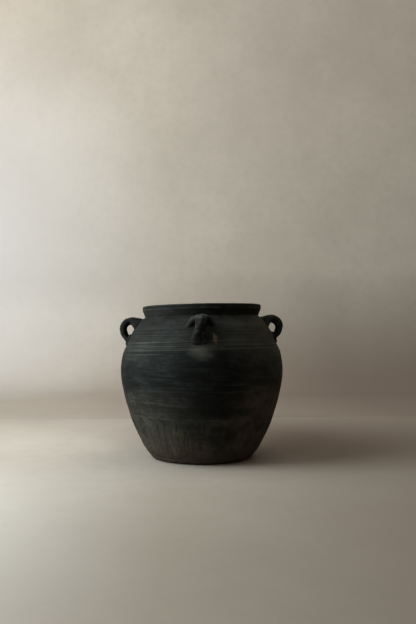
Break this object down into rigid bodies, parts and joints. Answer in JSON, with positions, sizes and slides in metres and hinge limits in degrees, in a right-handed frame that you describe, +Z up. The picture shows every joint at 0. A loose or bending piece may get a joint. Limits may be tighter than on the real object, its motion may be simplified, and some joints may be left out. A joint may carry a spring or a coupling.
{
  "type": "clay jar",
  "caption": "Round-bellied black clay jar with an everted rim, a grooved shoulder and small looped lug handles luted round the neck.",
  "frame": {"origin": "centre of the underside of the base, on the surface that the jar stands on", "axes": "+Z up along the jar's axis, -Y to the front handle, +X to the right handle"},
  "size_m": [0.325, 0.325, 0.298],
  "materials": {
    "burnished_clay": "satin, burnished in horizontal strokes",
    "grooved_clay": "matte with fine wheel-like grooves",
    "scraped_clay": "matte, knife-scraped",
    "rim_clay": "satin, smoothed with a wet cloth",
    "handle_clay": "satin, finger-smoothed"
  },
  "bodies": {
    "root": {"base_disc": "scraped_clay", "lower_wall": "scraped_clay", "belly_wall": "burnished_clay", "shoulder_wall": "grooved_clay", "rim_collar": "rim_clay", "handle_front_loop": "handle_clay", "handle_front_crescent": "handle_clay", "handle_front_foot_pad": "handle_clay", "handle_back_loop": "handle_clay", "handle_back_crescent": "handle_clay", "handle_back_foot_pad": "handle_clay", "handle_left_loop": "handle_clay", "handle_left_crescent": "handle_clay", "handle_left_foot_pad": "handle_clay", "handle_right_loop": "handle_clay", "handle_right_crescent": "handle_clay", "handle_right_foot_pad": "handle_clay"}
  },
  "joints": []
}
